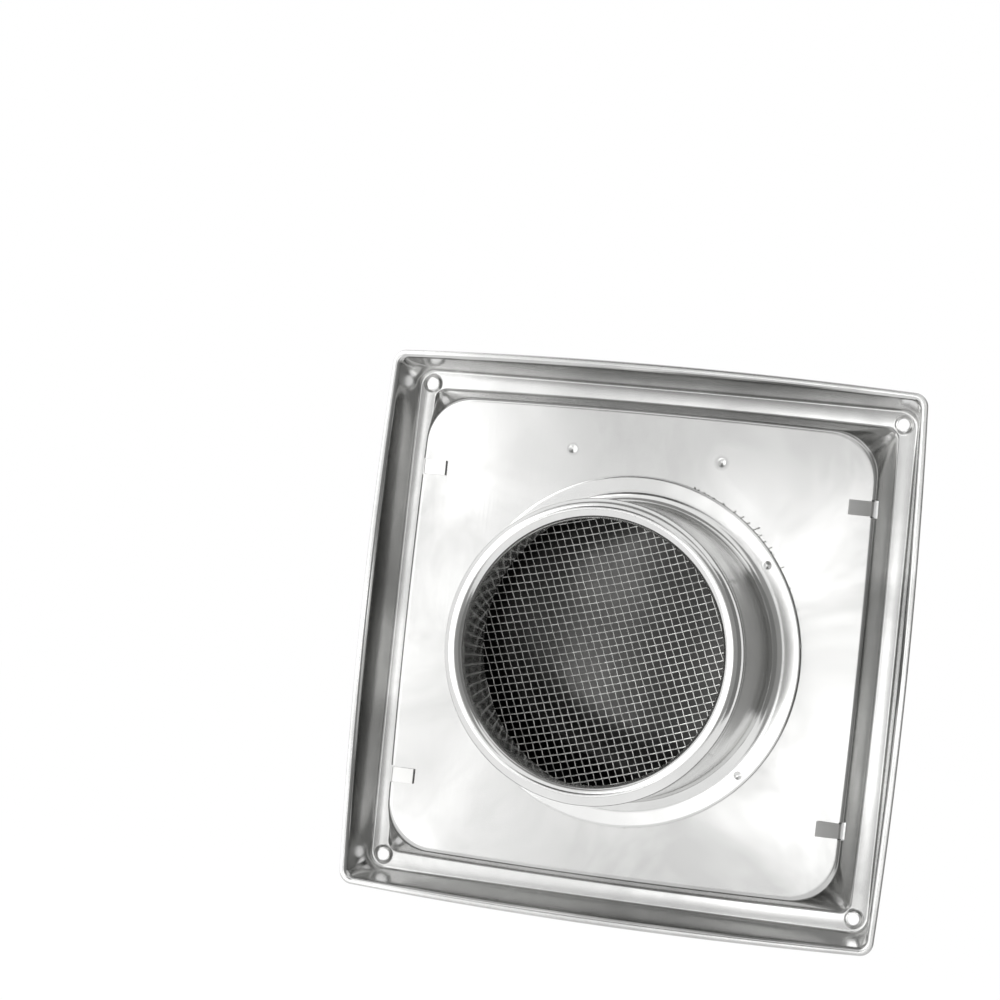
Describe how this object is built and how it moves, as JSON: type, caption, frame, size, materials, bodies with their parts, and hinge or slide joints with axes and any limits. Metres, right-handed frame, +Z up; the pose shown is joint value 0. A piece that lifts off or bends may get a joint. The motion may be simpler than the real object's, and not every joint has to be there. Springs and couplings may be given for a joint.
{
  "type": "exhaust vent cap",
  "caption": "Square stainless steel wall vent cap: pressed face pan with a bow-fronted hood open below, a round duct collar behind, and woven insect mesh between them.",
  "frame": {"origin": "centre of the four screw holes, on the back face of the screw flange", "axes": "+Y into the wall along the duct collar, +Z up as the cap hangs, +X to the right as seen from the front"},
  "size_m": [0.1888, 0.098, 0.1888],
  "materials": {
    "pan_steel": "bright cold-rolled stainless steel sheet",
    "collar_steel": "spun and lightly polished stainless steel",
    "mesh_wire": "drawn and woven stainless steel wire",
    "hood_steel": "satin stainless steel sheet"
  },
  "bodies": {
    "root": {"face_pan": "pan_steel", "duct_collar": "collar_steel", "insect_mesh": "mesh_wire", "front_hood": "hood_steel"}
  },
  "joints": []
}
